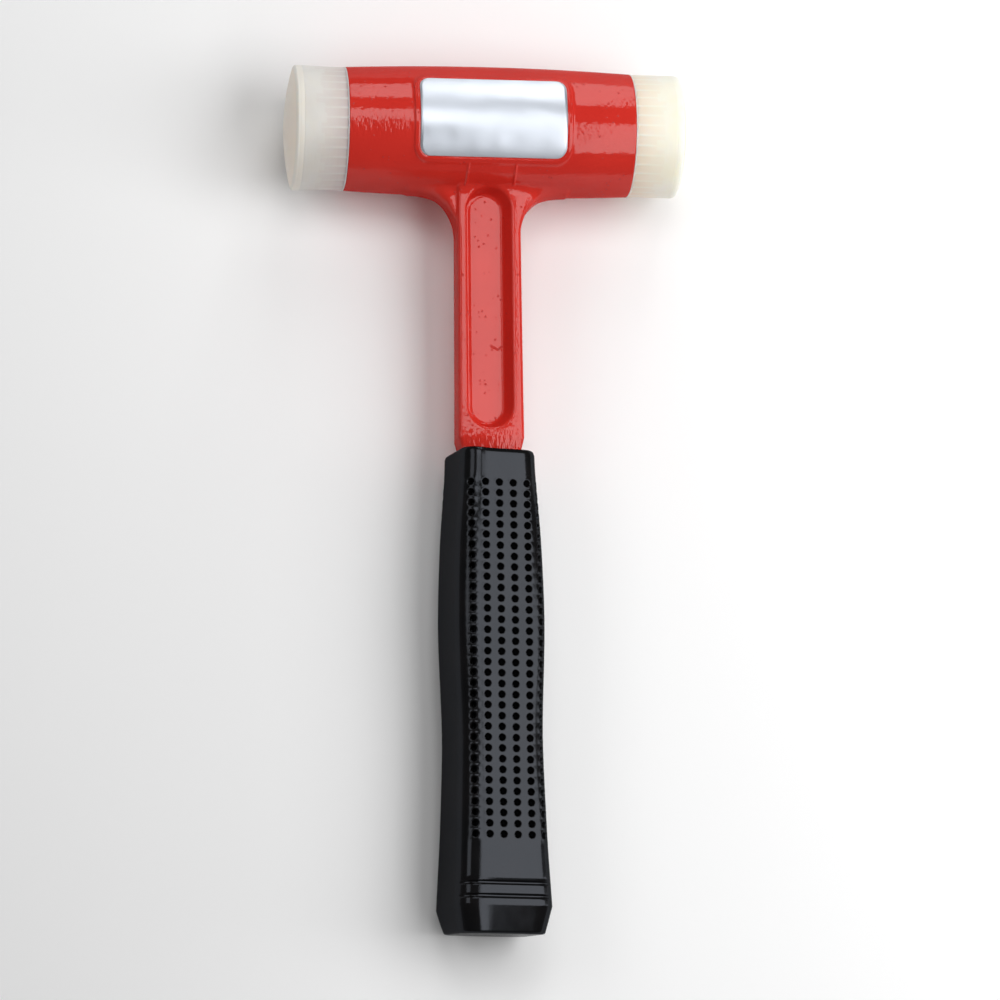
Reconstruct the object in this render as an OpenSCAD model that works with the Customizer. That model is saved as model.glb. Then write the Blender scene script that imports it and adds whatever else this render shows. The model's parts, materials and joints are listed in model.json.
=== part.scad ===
// Dead blow hammer with screw-in nylon faces, lying on its back.
// X runs along the head, +Y points up the handle to the head, +Z is the labelled front.
// The origin is under the middle of the hammer, on the surface that it lies on.

/* [Faces] */
// Diameter of the nylon striking faces
face_d = 44; // [36:0.5:54]
// Length of a striking face that stands out of the barrel, up to its rim
face_l = 18.4; // [14:0.2:26]
// Height of the dome of a striking face
dome_h = 3; // [0.5:0.25:4]
// Radius of the rim of a striking face
face_rim_r = 1.2; // [0.4:0.1:3]
// Number of finger flutes round a striking face
flute_count = 38; // [24:1:44]
// Radius of the cutter that makes a flute
flute_r = 1.3; // [0.8:0.1:1.6]
// Depth of a flute where it meets the barrel
flute_depth = 0.45; // [0.2:0.05:0.7]
// Length of a flute
flute_l = 10; // [6:0.5:12.5]

/* [Barrel] */
// Length of the barrel between its two machined ends
barrel_l = 102.5; // [84:0.5:125]
// Height of the barrel's ends over the faces, on the radius
face_step = 0.1; // [0:0.1:1]
// Height of the barrel's crown over its ends, on the radius
crown = 1.3; // [0.4:0.1:3]
// Wall of the barrel at its mouths
mouth_wall = 3.1; // [2:0.1:5]
// Height of the shoulder between the threaded ends and the middle bore
bore_step = 0.6; // [0.4:0.1:2]

/* [Thread] */
// Pitch of the thread on the spigot of a face
thread_pitch = 3.5; // [2.5:0.5:4.5]
// Number of turns of thread
thread_turns = 4; // [3:1:5]
// Depth of the thread
thread_depth = 1.4; // [0.8:0.1:1.8]
// Width of the flat at the crest and at the root of the thread
thread_flat = 0.35; // [0.2:0.05:0.8]
// Clearance of the thread crests in the barrel, on the radius
thread_gap = 0.1; // [0.05:0.05:0.2]
// Clear length behind the spigot of a face
spigot_gap = 1.25; // [0.5:0.25:3]

/* [Lock rings] */
// Thickness of the rubber ring on the neck of each face
ring_d = 3; // [2:0.25:4]
// Clearance between the ring and the neck, on the radius
ring_neck_gap = 0.1; // [0.05:0.05:0.2]
// Clearance between the ring and the mouth of the barrel, on the radius
ring_mouth_gap = 0.3; // [0.2:0.05:0.5]
// Clearance at each side of the ring along the neck
ring_side_gap = 0.5; // [0.3:0.1:1]

/* [Shot canister] */
// Depth of the canister's ends below the shoulders of the bore
canister_inset = 1; // [0.5:0.25:4]
// Wall of the canister tube
canister_wall = 1.5; // [1:0.25:3]
// Clearance of the canister in the barrel and of the caps in the canister, on the radius
canister_gap = 0.05; // [0.02:0.01:0.1]
// Thickness of a canister cap
cap_t = 2; // [1.5:0.25:4]
// Diameter of a steel ball
shot_d = 6; // [4:0.5:7.5]
// Clearance between neighbouring balls
shot_gap = 0.2; // [0.1:0.05:0.4]
// Free height over the bed of balls
shot_headroom = 6; // [3:0.5:12]
// Free travel of the charge of balls each way along the canister
shot_travel = 4; // [2:0.5:8]

/* [Shaft] */
// Width of the shaft just below the head
shaft_top_w = 22.4; // [18:0.2:27]
// Width of the shaft at its lower end
shaft_low_w = 23.4; // [19:0.2:28]
// Depth of the shaft from front to back
shaft_t = 16.5; // [13:0.5:20]
// Radius of the fillets between the head and the shaft
neck_fillet_r = 17; // [10:0.5:22]
// Width of the flange at each side of the recesses, where it is narrowest
flange_w = 2.7; // [2:0.1:5]
// Thickness of the web between the recesses
web_t = 7.5; // [4:0.5:10]
// Distance from the barrel's underside to the top end of the recesses
recess_below = 0.3; // [0.1:0.1:8]
// Distance from the bottom end of the recesses to the grip
recess_above = 9.8; // [8:0.2:30]

/* [Tang] */
// Height of the step from the shaft to the tang, all round
tang_step = 1; // [0.5:0.1:2.5]
// Length of the shoulder where the shaft narrows to the tang
shoulder_l = 4; // [2:0.5:5]
// Clear length between the end of the shoulder and the grip
shoulder_gap = 2.5; // [1:0.5:3]
// Length of solid grip below the end of the tang
tang_cover = 17; // [12:0.5:60]
// Clearance between the tang and the grip
tang_gap = 0.05; // [0:0.05:0.2]

/* [Grip] */
// Distance from the head's axis to the top of the grip
grip_start = 119.5; // [99:0.5:145]
// Length of the grip
grip_l = 169; // [140:0.5:203]
// Turn of the grip sleeve round the handle
grip_turn = 12; // [0:1:15]
// Rounding of the lip at the top of the grip
lip_r = 1.6; // [0.8:0.1:2]
// Wall of the grip at its collar, beside the tang
collar_side_wall = 2.9; // [2.5:0.1:4]
// Wall of the grip at its collar, in front of the tang and behind it
collar_front_wall = 4.95; // [3:0.05:6]
// Width of the grip at its swell
swell_w = 32.6; // [29:0.2:40]
// Depth of the grip at its swell
swell_t = 30; // [25:0.2:36]
// Distance from the top of the grip to its swell
swell_at = 56; // [40:1:70]
// Share of the swell that the grip is ahead of an even taper, halfway down to it
swell_lead = 0.18; // [0:0.02:0.24]
// Width of the grip at its waist
waist_w = 30.6; // [28:0.2:37]
// Depth of the grip at its waist
waist_t = 29; // [24:0.2:35]
// Distance from the top of the grip to its waist
waist_at = 102; // [85:1:120]
// Width of the grip at its flare
flare_w = 34.8; // [30:0.2:42]
// Depth of the grip at its flare
flare_t = 33; // [28:0.2:40]
// Share of the flare that the grip is behind an even taper, halfway down to it
flare_lag = 0.12; // [0:0.02:0.24]
// Width of the grip at its butt
butt_w = 29.6; // [26:0.2:36]
// Depth of the grip at its butt
butt_t = 27; // [23:0.2:34]
// Height of the bevel between the flare and the butt
butt_bevel = 9.5; // [5:0.5:14]
// Radius of the long corners of the grip
grip_corner_r = 7.5; // [4:0.5:9]

/* [Label] */
// Length of the foil label along the head
label_w = 52.4; // [30:0.2:63]
// Height of the foil label, seen from the front
label_h = 28.4; // [18:0.2:33]
// Radius of the corners of the foil label
label_corner_r = 3.6; // [1:0.2:6]
// Thickness of the foil label
label_t = 0.2; // [0.1:0.05:0.5]
// Thickness of the glue under the foil label
label_glue = 0.05; // [0.02:0.01:0.1]
// Gap between the foil label and the cast border round it
label_gap = 0.3; // [0.2:0.1:1]
// Width of the cast border round the label
border_w = 2; // [1:0.1:3]
// Height of the cast border over the label's seat
border_h = 0.9; // [0.4:0.1:1.5]
// Height of the label's seat over the crown of the barrel
seat_h = 0.15; // [0.1:0.05:0.5]

/* [Hidden] */
$fn = 96;
// Thickness of a slice of the grip, and rounding allowed where places are compared
eps = 0.01;
// Run of a cutter past the surface that it cuts
over = 1;

// Barrel: the crown is an arc through the middle and the two ends.
barrel_end_d = face_d + 2 * face_step;
barrel_mid_d = barrel_end_d + 2 * crown;
crown_r = (pow(barrel_l / 2, 2) + crown * crown) / (2 * crown);

// Ends of the barrel: the lock ring fits between the mouth and the neck, and the thread begins behind it.
mouth_d = barrel_end_d - 2 * mouth_wall;
neck_d = mouth_d - 2 * (ring_neck_gap + ring_d + ring_mouth_gap);
neck_l = ring_d + 2 * ring_side_gap;
thread_d = neck_d + 2 * thread_depth;
thread_l = thread_pitch * thread_turns;
thread_bore_d = thread_d + 2 * thread_gap;
thread_bore_l = neck_l + thread_l + spigot_gap;
bore_d = thread_bore_d - 2 * bore_step;

// Striking face: the rim is an arc between the side and the dome.
disc_r = face_d / 2;
dome_r = (disc_r * disc_r + dome_h * dome_h) / (2 * dome_h);
dome_y = face_l + dome_h - dome_r;
rim_x = disc_r - face_rim_r;
rim_y = dome_y + sqrt(pow(dome_r - face_rim_r, 2) - rim_x * rim_x);
dome_edge_x = rim_x * dome_r / (dome_r - face_rim_r);

// Canister: it lies inside the bore, and its caps lie inside its ends.
canister_l = barrel_l - 2 * thread_bore_l - 2 * canister_inset;
canister_d = bore_d - 2 * canister_gap;
canister_in_d = canister_d - 2 * canister_wall;
chamber_l = canister_l - 2 * cap_t;
shot_pitch = shot_d + shot_gap;
shot_row = shot_pitch * sqrt(3) / 2;
shot_reach = canister_in_d / 2 - shot_gap - shot_d / 2;
shot_layers = floor((chamber_l - 2 * shot_travel - shot_d - 2 * shot_gap) / shot_pitch) + 1;
shot_rows = floor((canister_in_d - shot_headroom - shot_d - shot_gap) / shot_row) + 1;
shot_columns = ceil(canister_in_d / shot_pitch);

// Shaft: it starts in the middle of the barrel's wall and narrows to the tang above the grip.
barrel_wall = (barrel_end_d - thread_bore_d) / 2;
shaft_start = barrel_end_d / 2 - barrel_wall / 2;
shaft_end = grip_start - shoulder_gap - shoulder_l;
recess_top = barrel_end_d / 2 + recess_below;
recess_low = grip_start - recess_above;
recess_w = shaft_top_w - 2 * flange_w;
tang_w = shaft_low_w - 2 * tang_step;
tang_t = shaft_t - 2 * tang_step;
tang_end = grip_start + grip_l - tang_cover;

// Label seat: a plain cylinder just proud of the crown.
seat_r = barrel_mid_d / 2 + seat_h;
label_r = seat_r + label_glue;
window_w = label_w + 2 * label_gap;
window_h = label_h + 2 * label_gap;
window_corner_r = label_corner_r + label_gap;
border_outer_w = window_w + 2 * border_w;
border_outer_h = window_h + 2 * border_w;

// Grip stations: distance from the head's axis, width and depth.
grip_end = grip_start + grip_l;
flare_at = grip_end - butt_bevel;
lip_l = 2 * lip_r;
collar_w = tang_w + 2 * collar_side_wall;
collar_t = tang_t + 2 * collar_front_wall;
GRIP = [
    [grip_start, collar_w - 2 * lip_r, collar_t - 2 * lip_r],
    [grip_start + lip_l, collar_w, collar_t],
    halfway([grip_start + lip_l, collar_w, collar_t], [grip_start + swell_at, swell_w, swell_t], swell_lead),
    [grip_start + swell_at, swell_w, swell_t],
    [grip_start + waist_at, waist_w, waist_t],
    halfway([grip_start + waist_at, waist_w, waist_t], [flare_at, flare_w, flare_t], -flare_lag),
    [flare_at, flare_w, flare_t],
    [grip_end, butt_w, butt_t]
];

// Station halfway from a to b, with its width and depth ahead of an even taper by lead.
function halfway(a, b, lead) =
    [for (i = [0 : 2]) a[i] + (b[i] - a[i]) * (1 / 2 + (i == 0 ? 0 : lead))];

// Half of a turned rounded section's extent towards the front or the back.
function section_reach(w, t) =
    (w / 2 - grip_corner_r) * sin(grip_turn) + (t / 2 - grip_corner_r) * cos(grip_turn) + grip_corner_r;

// Lie of the hammer: the back of the barrel and the back of the flare touch the surface together.
flare_reach = section_reach(flare_w, flare_t);
lie_angle = asin(barrel_mid_d / 2 / norm([flare_at, flare_reach])) - atan(flare_reach / flare_at);
butt_y = -grip_end * cos(lie_angle) - section_reach(butt_w, butt_t) * sin(lie_angle);
head_y = -(butt_y + barrel_mid_d / 2) / 2;
head_z = barrel_mid_d / 2;
// Places that the joints and the mounts use.
echo(head_y = head_y, head_z = head_z, lie_angle = lie_angle, mouth_d = mouth_d, thread_l = thread_l);

// Places the hammer, drawn round the middle of its head, on the surface that it lies on.
module laid() {
    translate([0, head_y, head_z]) rotate([lie_angle, 0, 0]) children();
}

// Turns a shape round Z into one round the head's axis, for the right or the left end.
module along_head(side) {
    rotate([0, side * 90, 0]) children();
}

// Rounded rectangle on the XY plane, from squares and circles.
module rounded(w, h, r) {
    square([w - 2 * r, h], center = true);
    square([w, h - 2 * r], center = true);
    for (x = [-1, 1], y = [-1, 1])
        translate([x * (w / 2 - r), y * (h / 2 - r)]) circle(r);
}

// Prism over the front of the barrel, cut off by a cylinder round the head's axis.
module barrel_patch(w, h, corner, r) {
    intersection() {
        linear_extrude(r + over) rounded(w, h, corner);
        rotate([0, 90, 0]) cylinder(r = r, h = w + 2 * over, center = true);
    }
}

// Outside of the barrel: a slice under a wide arc, turned round the head's axis.
module barrel() {
    rotate([0, 90, 0]) rotate_extrude() intersection() {
        translate([barrel_mid_d / 2 - crown_r, 0]) circle(crown_r, $fn = 2400);
        translate([0, -barrel_l / 2]) square([barrel_mid_d, barrel_l]);
    }
}

// Bores of one end of the barrel: the mouth for the lock ring and the threaded length.
module end_bores(side) {
    along_head(side) {
        translate([0, 0, barrel_l / 2 - thread_bore_l]) cylinder(d = thread_bore_d, h = thread_bore_l + over);
        translate([0, 0, barrel_l / 2 - neck_l]) cylinder(d = mouth_d, h = neck_l + over);
    }
}

// Flat outline of the shaft with the fillets that lead into the barrel.
module shaft_outline() {
    fillet_y = barrel_end_d / 2 + neck_fillet_r;
    fillet_x = shaft_top_w / 2 + neck_fillet_r;
    polygon([[-shaft_top_w / 2, -shaft_start], [shaft_top_w / 2, -shaft_start],
             [shaft_low_w / 2, -shaft_end], [tang_w / 2, -shaft_end - shoulder_l],
             [-tang_w / 2, -shaft_end - shoulder_l], [-shaft_low_w / 2, -shaft_end]]);
    difference() {
        translate([-fillet_x, -fillet_y]) square([2 * fillet_x, fillet_y - shaft_start]);
        for (side = [-1, 1]) translate([side * fillet_x, -fillet_y]) circle(neck_fillet_r);
    }
}

// Recess in one side of the shaft, with round ends.
module recess(side) {
    r = recess_w / 2;
    rotate([0, side > 0 ? 0 : 180, 0]) translate([0, 0, web_t / 2]) linear_extrude(barrel_mid_d) {
        translate([0, -recess_top - r]) circle(r);
        translate([0, -recess_low + r]) circle(r);
        translate([-r, -recess_low + r]) square([recess_w, recess_low - recess_top - recess_w]);
    }
}

// One casting: the barrel with its label seat, the shaft with its recesses, and the tang.
module head_casting() {
    color("firebrick") laid() difference() {
        union() {
            barrel();
            barrel_patch(border_outer_w, border_outer_h, window_corner_r + border_w, seat_r + border_h);
            difference() {
                translate([0, 0, -shaft_t / 2]) linear_extrude(shaft_t) shaft_outline();
                for (side = [-1, 1]) recess(side);
            }
            translate([-tang_w / 2, -tang_end, -tang_t / 2])
                cube([tang_w, tang_end - shaft_end - shoulder_l / 2, tang_t]);
        }
        difference() {
            linear_extrude(barrel_mid_d) rounded(window_w, window_h, window_corner_r);
            rotate([0, 90, 0]) cylinder(r = seat_r, h = barrel_l, center = true);
        }
        rotate([0, 90, 0]) cylinder(d = bore_d, h = barrel_l, center = true);
        for (side = [-1, 1]) end_bores(side);
    }
}

// Foil label, wrapped round the seat inside the cast border.
module front_label() {
    color("gainsboro") laid() difference() {
        barrel_patch(label_w, label_h, label_corner_r, label_r + label_t);
        rotate([0, 90, 0]) cylinder(r = label_r, h = barrel_l, center = true);
    }
}

// Thin rounded slice of the grip at one station.
module grip_slice(station) {
    corner_x = station[1] / 2 - grip_corner_r;
    corner_z = station[2] / 2 - grip_corner_r;
    translate([0, -station[0], 0]) rotate([90, 0, 0]) for (x = [-1, 1], z = [-1, 1])
        translate([x * corner_x, z * corner_z]) cylinder(r = grip_corner_r, h = eps, center = true, $fn = 32);
}

// Moulded sleeve: slices joined in turn from the lip to the butt, with a pocket for the tang.
module grip_sleeve() {
    pocket = [tang_w + 2 * tang_gap, tang_end - grip_start + tang_gap + over, tang_t + 2 * tang_gap];
    color("dimgray") laid() difference() {
        rotate([0, grip_turn, 0]) for (i = [0 : len(GRIP) - 2]) hull() {
            grip_slice(GRIP[i]);
            grip_slice(GRIP[i + 1]);
        }
        translate([-pocket[0] / 2, -tang_end - tang_gap, -pocket[2] / 2]) cube(pocket);
    }
}

// Half section of a face: the domed disc, the neck and the ridges of the thread.
module face_section() {
    square([disc_r, rim_y]);
    translate([rim_x, rim_y]) circle(face_rim_r, $fn = 64);
    intersection() {
        translate([0, dome_y]) circle(dome_r, $fn = 720);
        square([dome_edge_x, face_l + dome_h]);
    }
    translate([0, -neck_l - thread_l]) square([neck_d / 2, neck_l + thread_l]);
    for (turn = [0 : thread_turns - 1])
        translate([0, -neck_l - (turn + 1) * thread_pitch])
            polygon([[neck_d / 4, thread_flat / 2], [neck_d / 2, thread_flat / 2],
                     [thread_d / 2, (thread_pitch - thread_flat) / 2],
                     [thread_d / 2, (thread_pitch + thread_flat) / 2],
                     [neck_d / 2, thread_pitch - thread_flat / 2],
                     [neck_d / 4, thread_pitch - thread_flat / 2]]);
}

// Nylon face at one end: tapered cutters leave finger flutes that run out halfway along the disc.
// The first flute lies half a step round, clear of the plane that the section is turned from.
module face(side) {
    taper = flute_depth / flute_l;
    flute_step = 360 / flute_count;
    color("ivory") laid() along_head(side) translate([0, 0, barrel_l / 2]) difference() {
        rotate_extrude() face_section();
        for (i = [0 : flute_count - 1]) rotate([0, 0, (i + 1 / 2) * flute_step])
            translate([disc_r + flute_r - flute_depth, 0, -over])
                cylinder(r1 = flute_r + taper * over, r2 = flute_r - flute_depth - taper * over,
                         h = flute_l + 2 * over, $fn = 24);
    }
}
module left_face() { face(-1); }
module right_face() { face(1); }

// Rubber ring on the neck of a face, inside the mouth of the barrel.
module lock_ring(side) {
    color("darkslategray") laid() along_head(side) translate([0, 0, barrel_l / 2 - neck_l / 2])
        rotate_extrude() translate([neck_d / 2 + ring_neck_gap + ring_d / 2, 0]) circle(d = ring_d, $fn = 48);
}
module left_lock_ring() { lock_ring(-1); }
module right_lock_ring() { lock_ring(1); }

// Steel tube of the canister, pressed into the bore.
module shot_canister() {
    color("silver") laid() rotate([0, 90, 0]) difference() {
        cylinder(d = canister_d, h = canister_l, center = true);
        cylinder(d = canister_in_d, h = canister_l + 2 * over, center = true);
    }
}

// Disc that closes one end of the canister.
module canister_cap(side) {
    color("lightslategray") laid() along_head(side) translate([0, 0, canister_l / 2 - cap_t])
        cylinder(d = canister_in_d - 2 * canister_gap, h = cap_t);
}
module left_canister_cap() { canister_cap(-1); }
module right_canister_cap() { canister_cap(1); }

// Bed of steel balls: rows on the floor of the canister, each set between the balls of the row below.
module steel_shot() {
    color("slategray") laid()
        for (layer = [0 : shot_layers - 1], row = [0 : shot_rows - 1],
             column = [-shot_columns : shot_columns])
        let (
            x = (layer - (shot_layers - 1) / 2) * shot_pitch,
            y = (column + (row % 2) / 2) * shot_pitch,
            z = row * shot_row - shot_reach
        )
            if (norm([y, z]) <= shot_reach + eps) translate([x, y, z]) sphere(d = shot_d, $fn = 32);
}

head_casting();
front_label();
grip_sleeve();
left_face();
right_face();
left_lock_ring();
right_lock_ring();
shot_canister();
left_canister_cap();
right_canister_cap();
steel_shot();
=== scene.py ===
# %% [markdown]
# # A nylon-faced dead blow hammer
# The hammer is one red casting, head and shaft together. A nylon face screws into each end of the head,
# a foil label sits in a cast border, and a black vinyl grip covers the tang. Loose steel shot inside the
# head stops the rebound. Every piece here is a surface worked out with numpy, in millimetres, and then laid
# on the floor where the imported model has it.

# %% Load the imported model
import json

import bpy
import numpy as np
from mathutils import Matrix


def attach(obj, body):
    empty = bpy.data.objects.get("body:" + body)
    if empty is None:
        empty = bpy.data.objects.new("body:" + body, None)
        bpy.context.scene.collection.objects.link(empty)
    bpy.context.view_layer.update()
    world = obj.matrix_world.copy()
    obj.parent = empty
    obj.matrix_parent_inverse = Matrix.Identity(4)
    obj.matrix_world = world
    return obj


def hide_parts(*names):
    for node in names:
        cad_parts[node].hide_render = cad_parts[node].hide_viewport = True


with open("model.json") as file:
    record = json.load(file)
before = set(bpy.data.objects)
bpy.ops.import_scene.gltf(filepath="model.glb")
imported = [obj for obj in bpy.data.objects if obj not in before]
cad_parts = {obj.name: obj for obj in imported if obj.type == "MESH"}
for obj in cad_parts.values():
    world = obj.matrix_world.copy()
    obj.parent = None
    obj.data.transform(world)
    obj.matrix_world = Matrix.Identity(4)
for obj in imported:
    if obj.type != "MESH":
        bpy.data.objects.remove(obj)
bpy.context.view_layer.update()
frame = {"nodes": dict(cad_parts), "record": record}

# %% [markdown]
# ## One hammer frame
# The shapes are simple in a frame of the hammer's own: X along the head, Y up the handle, Z out of the
# labelled front, with the origin in the middle of the head. The real hammer lies on its back with the
# handle a little lower than the head, so one turn and one move carry that frame to the floor. Both come
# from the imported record: a screw joint marks the seam of the face, and the butt's axis gives the lean.

# %% The hammer frame from the joints and mounts
MM = 0.001
record = frame["record"]
face_screw = next(j for j in record["behaviour"]["joints"] if j["name"] == "right_face_turn")
butt_mount = next(m for m in record["mounts"] if m["name"] == "butt_face")
seam_x, head_y, head_z = np.array(face_screw["pos_m"]) / MM
lean_cos, lean_sin = -np.array(butt_mount["axis"][1:])


def laid_turn(vectors):
    """Directions in the hammer frame, turned about X by the lean of the handle."""
    x, y, z = np.moveaxis(np.asarray(vectors, float), -1, 0)
    return np.stack([x, y * lean_cos - z * lean_sin, y * lean_sin + z * lean_cos], -1)


def laid(points):
    """Hammer millimetres to metres on the floor: the lean, then the place of the head's middle."""
    return (laid_turn(points) + (0, head_y, head_z)) * MM


print(f"seam {seam_x:.2f} mm from the middle, head {head_z:.2f} mm up, "
      f"lean {np.degrees(np.arcsin(lean_sin)):.2f} deg")

# %% [markdown]
# ## The camera
# The photo looks down on the hammer from a little to the left and well below the head. A long lens far
# away keeps the two ends of the head nearly the same size, as a studio camera does.

# %% Camera
scene = bpy.context.scene
camera_eye = np.array((-212.6, -440.2, 1588.4))
camera_aim = np.array((3.654, -134.112, 0))
camera_roll = np.radians(-0.614)
camera_lens, sensor_width = 166.28, 36


def unit(vector):
    """The vector at length 1."""
    return vector / np.linalg.norm(vector)


def put_at(item, middle, axes):
    """Places a camera or a lamp, its X, Y and Z along three directions, all given in the hammer frame."""
    item.matrix_world = Matrix.Translation(laid(middle)) @ Matrix(laid_turn(axes).T.tolist()).to_4x4()


back = unit(camera_eye - camera_aim)
flat_right = unit(np.cross((0, 1, 0), back))
flat_up = np.cross(back, flat_right)
right = np.cos(camera_roll) * flat_right + np.sin(camera_roll) * flat_up
camera_data = bpy.data.cameras.new("photo_camera")
camera_data.lens, camera_data.sensor_width = camera_lens, sensor_width
camera = bpy.data.objects.new("photo_camera", camera_data)
scene.collection.objects.link(camera)
put_at(camera, camera_eye, [right, np.cross(back, right), back])
scene.camera = camera
scene.view_settings.view_transform = "Standard"
print(f"camera {np.linalg.norm(camera_eye - camera_aim) * MM:.2f} m away, lens {camera_lens} mm")

# %% [markdown]
# ## From arrays to a piece
# A mesh is three lists: points, the corners of each face, and where each face starts in that list. Blender
# takes all three as whole arrays with foreach_set, which is far quicker than one call for each vertex. The
# enclosed volume tells which way the faces point: if it comes out negative, all of them are turned.

# %% Mesh helpers
NO_TRIS = np.zeros((0, 3), int)


def grid_faces(rows, columns):
    """Quads between neighbouring rows of a grid whose last column meets its first."""
    r, c = np.meshgrid(np.arange(rows - 1), np.arange(columns), indexing="ij")
    here, beside = r * columns + c, r * columns + (c + 1) % columns
    return np.stack([here, beside, beside + columns, here + columns], -1).reshape(-1, 4)


def closed_grid(rings, first_pole, last_pole):
    """Points, quads and triangles of a stack of rings, closed by a fan round a pole at each end."""
    rows, columns = rings.shape[:2]
    points = np.concatenate([rings.reshape(-1, 3), [first_pole, last_pole]])
    c = np.arange(columns)
    n = (c + 1) % columns
    last = (rows - 1) * columns
    first_fan = np.stack([np.full(columns, rows * columns), n, c], -1)
    last_fan = np.stack([np.full(columns, rows * columns + 1), last + c, last + n], -1)
    return points, grid_faces(rows, columns), np.concatenate([first_fan, last_fan])


print("three rings of four points give", len(grid_faces(3, 4)), "quads")

# %% New piece


def new_piece(name, points, quads, tris, body, node, slot):
    """Object at the origin from points in hammer millimetres, riding on its body in place of its CAD node."""
    parts = np.concatenate([quads[:, [0, 1, 2]], quads[:, [0, 2, 3]], tris])
    a, b, c = (points[parts[:, k]] for k in range(3))
    volume = np.einsum("ij,ij->i", a, np.cross(b, c)).sum() / 6
    if volume < 0:
        quads, tris = quads[:, ::-1], tris[:, ::-1]
    corners = np.concatenate([quads.ravel(), tris.ravel()]).astype(np.int32)
    starts = np.concatenate([np.arange(len(quads)) * 4, len(quads) * 4 + np.arange(len(tris)) * 3])
    mesh = bpy.data.meshes.new(name)
    mesh.vertices.add(len(points))
    mesh.vertices.foreach_set("co", laid(points).ravel())
    mesh.loops.add(len(corners))
    mesh.loops.foreach_set("vertex_index", corners)
    mesh.polygons.add(len(starts))
    mesh.polygons.foreach_set("loop_start", starts.astype(np.int32))
    mesh.polygons.foreach_set("use_smooth", np.ones(len(starts), bool))
    mesh.update(calc_edges=True)
    mesh.validate()
    piece = bpy.data.objects.new(name, mesh)
    scene.collection.objects.link(piece)
    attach(piece, body)
    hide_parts(node)
    print(f"{name}: {len(points)} points, {len(quads) * 2 + len(tris)} triangles, "
          f"{abs(volume) / 1000:.1f} cm3")
    return piece


def point_values(piece, name, values):
    """Stores one number for each vertex, for a material to read by name."""
    stored = piece.data.attributes.new(name, "FLOAT", "POINT")
    stored.data.foreach_set("value", np.asarray(values, np.float32).ravel())


# %% [markdown]
# ## The casting as a field
# Barrel, shaft, fillets, recesses and the label's border are one casting, and every inner corner of it is
# rounded. Such a shape is easiest as a field: a formula that gives, at any point, about how far it is
# outside the metal. Two fields join with min and cut with max, and a rounded min or max leaves a fillet.

# %% Field helpers


def round_union(a, b, r):
    """Smaller of two fields, with a fillet of radius r where they meet."""
    return np.maximum(r, np.minimum(a, b)) - np.hypot(np.maximum(r - a, 0), np.maximum(r - b, 0))


def round_both(a, b, r):
    """Larger of two fields, with the edge where they meet rounded by r."""
    return np.minimum(-r, np.maximum(a, b)) + np.hypot(np.maximum(r + a, 0), np.maximum(r + b, 0))


def rounded_box(x, y, half_w, half_h, corner):
    """Distance outside a rectangle with round corners, on a plane."""
    u, v = np.abs(x) - half_w + corner, np.abs(y) - half_h + corner
    return np.hypot(np.maximum(u, 0), np.maximum(v, 0)) + np.minimum(np.maximum(u, v), 0) - corner


def ease(t):
    """Smooth step from 0 to 1."""
    t = np.clip(t, 0, 1)
    return t * t * (3 - 2 * t)


print(f"1 mm from two walls, a 2 mm fillet between them is {round_union(1.0, 1.0, 2.0):.2f} mm away")

# %% [markdown]
# ## Barrel and border
# The barrel of the head is a little fatter in the middle than at its ends, so a wide arc gives its radius.
# A seat for the label stands on its front, inside a low frame with sloping sides, and two thin ridges run
# down towards the shaft. What only the front has is pushed far off behind the axis.

# %% Barrel, label border and ridges
crown_drop, past_seam, end_edge = 1.3, 2.0, 0.25
crown_r = (seam_x ** 2 + crown_drop ** 2) / (2 * crown_drop)
seat_r, seat_gap, seat_edge = head_z + 0.15, 0.4, 0.15
border_half = np.array((28.5, 16.5))
border_corner, border_w, border_h, border_slope = 5.9, 1.8, 0.6, np.radians(26)
border_top, border_inner, border_foot = 0.35, 0.2, 0.3
ridge_x, ridge_r, ridge_sunk, ridge_foot = 8.5, 0.4, 0.1, 0.25
ridge_y = (-21.5, -15.5)
far_off = 5


def barrel_radius(x):
    """Radius of the barrel: a wide arc through the middle and the two ends."""
    return head_z - crown_r + np.sqrt(crown_r ** 2 - np.minimum(np.abs(x), seam_x + past_seam) ** 2)


def barrel_field(x, y, z, rho):
    """Crowned barrel with rounded ends, a label seat, a sloping border round it and two thin ridges below."""
    skin = rho - barrel_radius(x)
    barrel = round_both(skin, np.abs(x) - seam_x, end_edge)
    pad = rounded_box(x, y, *border_half, border_corner)
    behind = np.where(z > 0, 0, far_off)
    seat = round_both(pad + seat_gap, rho - seat_r, seat_edge) + behind
    slope = skin * np.cos(border_slope) + pad * np.sin(border_slope)
    border = round_both(skin - border_h, slope, border_top)
    border = round_both(border, -pad - border_w, border_inner) + behind
    barrel = round_union(round_union(barrel, seat, border_foot), border, border_foot)
    ridge = np.hypot(np.abs(x) - ridge_x, skin + ridge_sunk) - ridge_r
    ridge = np.maximum(ridge, np.maximum(ridge_y[0] - y, y - ridge_y[1])) + behind
    return round_union(barrel, ridge, ridge_foot)


print(f"barrel {2 * head_z:.1f} mm across its middle, {2 * barrel_radius(seam_x):.1f} mm at its ends")

# %% [markdown]
# ## Shaft
# The shaft is an I-section: a slot with round ends is sunk into its front and its back, and a thin web stays
# between them. Its sides run into the barrel in two quarter circles, the gussets. Below the recess the
# shaft narrows to a plain tang, which the grip covers.

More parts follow.
